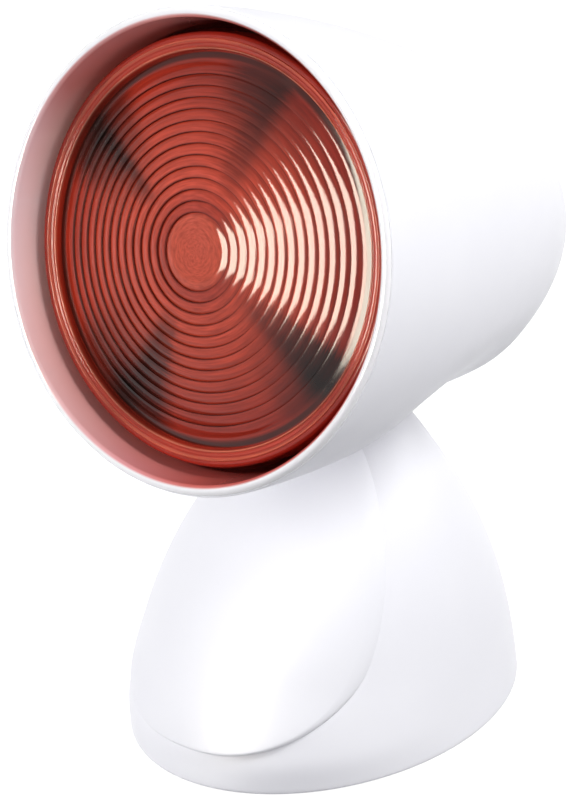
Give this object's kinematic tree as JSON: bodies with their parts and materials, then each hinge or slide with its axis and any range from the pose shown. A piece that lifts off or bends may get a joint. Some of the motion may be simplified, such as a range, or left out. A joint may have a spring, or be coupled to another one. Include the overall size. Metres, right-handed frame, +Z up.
{
  "type": "infrared heat therapy lamp",
  "caption": "Infrared heat therapy lamp: a red reflector bulb deep in a bell-shaped white shade that tilts on a hollow oval stand with a raised front leaf.",
  "frame": {"origin": "on the table under the middle of the part", "axes": "+Z up, the lamp shines towards -Y and a little up, the tilt axle lies along X"},
  "size_m": [0.1359, 0.1748, 0.2315],
  "materials": {
    "white_plastic": "gloss",
    "grey_plastic": "satin",
    "steel": "satin",
    "zinc_screw": "satin",
    "brass": "satin",
    "bulb_cap_metal": "satin",
    "red_glass": "gloss",
    "reflector_glass": "mirror",
    "black_glass": "gloss",
    "clear_glass": "gloss",
    "tungsten": "satin",
    "ceramic": "gloss",
    "fibre": "matt",
    "cast_iron": "matt",
    "foot_rubber": "matt",
    "lead_silicone": "satin"
  },
  "bodies": {
    "stand": {"base_shell": "white_plastic", "front_leaf": "white_plastic", "leaf_screws": "zinc_screw", "neck_post": "grey_plastic", "post_screws": "zinc_screw", "base_plate": "grey_plastic", "base_screws": "zinc_screw", "rubber_feet": "foot_rubber", "ballast": "cast_iron", "ballast_screws": "zinc_screw", "terminal_block": "white_plastic", "terminal_screws": "brass", "cord_gland": "white_plastic", "cord_clamp": "grey_plastic", "clamp_screws": "zinc_screw", "switch_housing": "white_plastic", "switch_terminals": "brass", "stand_leads": "lead_silicone"},
    "head": {"shade_shell": "white_plastic", "inner_shade": "white_plastic", "head_chassis": "steel", "chassis_screws": "zinc_screw", "lamp_holder": "ceramic", "holder_sleeve": "brass", "holder_contact": "brass", "holder_ring": "steel", "holder_terminals": "brass", "tilt_axle": "steel", "axle_nuts": "steel", "spring_washers": "zinc_screw", "friction_washers": "fibre", "lamp_leads": "lead_silicone"},
    "bulb": {"bulb_lens": "red_glass", "bulb_reflector": "reflector_glass", "bulb_skirt": "bulb_cap_metal", "bulb_cap": "bulb_cap_metal", "cap_insulator": "black_glass", "cap_contact": "bulb_cap_metal", "bulb_filament": "tungsten", "filament_supports": "clear_glass"},
    "rocker": {"switch_rocker": "white_plastic"}
  },
  "joints": [
    {"name": "head_tilt", "type": "hinge", "parent": "stand", "child": "head", "pos_m": [0, 0.00839, 0.10681], "axis": [-1, 0, 0], "range_deg": [-10, 20]},
    {"name": "bulb_out", "type": "slide", "parent": "head", "child": "bulb", "axis": [0, -0.9694, 0.2453], "range_m": [0, 0.145]},
    {"name": "rocker_tip", "type": "hinge", "parent": "stand", "child": "rocker", "pos_m": [0, 0.05372, 0.02689], "axis": [1, 0, 0], "range_deg": [0, 14]}
  ]
}
